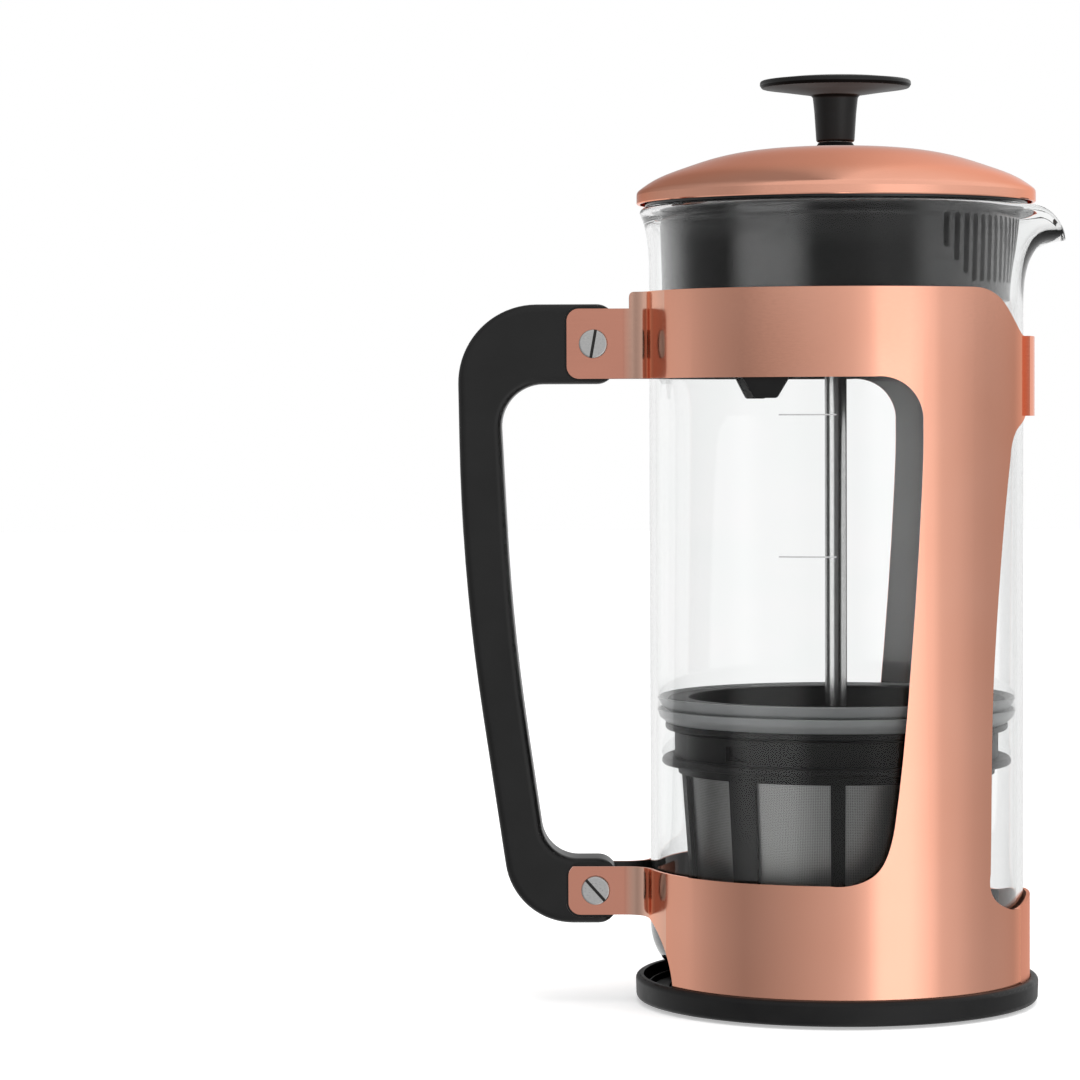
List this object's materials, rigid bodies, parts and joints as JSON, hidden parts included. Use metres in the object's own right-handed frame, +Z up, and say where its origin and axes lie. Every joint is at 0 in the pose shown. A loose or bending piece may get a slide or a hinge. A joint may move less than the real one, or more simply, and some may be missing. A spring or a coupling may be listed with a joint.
{
  "type": "french press",
  "caption": "Plunger coffee maker: glass jar in a copper sheet-metal cage with a side handle, domed lid, sliding plunger and double filter baskets.",
  "frame": {"origin": "on the jar's axis, at the underside of the rubber foot", "axes": "+Z up along the plunger rod, +X towards the spout, the handle along -X; symmetric about the XZ plane"},
  "size_m": [0.163, 0.1082, 0.2477],
  "materials": {
    "clear_glass": "clear borosilicate, polished",
    "copper_plate": "polished copper plating on sheet steel",
    "black_plastic": "fine matt moulding",
    "black_rubber": "satin rubber",
    "steel": "brushed stainless",
    "steel_mesh": "fine woven wire",
    "clear_silicone": "translucent silicone",
    "brass_insert": "turned"
  },
  "bodies": {
    "jar": {"glass_jar": "clear_glass", "cage_frame": "copper_plate", "base_foot": "black_rubber", "handle": "black_plastic", "handle_screw_upper": "steel", "handle_screw_lower": "steel", "handle_nut_upper": "steel", "handle_nut_lower": "steel", "glass_bumper_near": "black_rubber", "glass_bumper_far": "black_rubber"},
    "lid_bush": {"lid_bush": "black_plastic"},
    "lid": {"lid_cover": "copper_plate", "lid_skirt": "black_plastic", "lid_retainer": "black_plastic"},
    "plunger": {"knob": "black_plastic", "knob_insert": "brass_insert", "plunger_rod": "steel", "filter_hub": "black_plastic", "rod_nut": "steel", "inner_filter_frame": "black_plastic", "inner_mesh_wall": "steel_mesh", "inner_mesh_floor": "steel_mesh", "lip_seal": "clear_silicone"},
    "outer_filter": {"outer_filter_frame": "black_plastic", "outer_mesh_wall": "steel_mesh", "outer_mesh_floor": "steel_mesh"}
  },
  "joints": [
    {"name": "lid_lift", "type": "slide", "parent": "jar", "child": "lid_bush", "axis": [0, 0, 1], "range_m": [0, 0.2]},
    {"name": "lid_turn", "type": "hinge", "parent": "lid_bush", "child": "lid", "pos_m": [0, 0, 0.22], "axis": [0, 0, 1], "continuous": true},
    {"name": "plunger_press", "type": "slide", "parent": "lid_bush", "child": "plunger", "axis": [0, 0, 1], "range_m": [0, 0.104]},
    {"name": "outer_filter_twist", "type": "hinge", "parent": "plunger", "child": "outer_filter", "pos_m": [0, 0, 0.05], "axis": [0, 0, 1], "range_deg": [0, 20]}
  ]
}
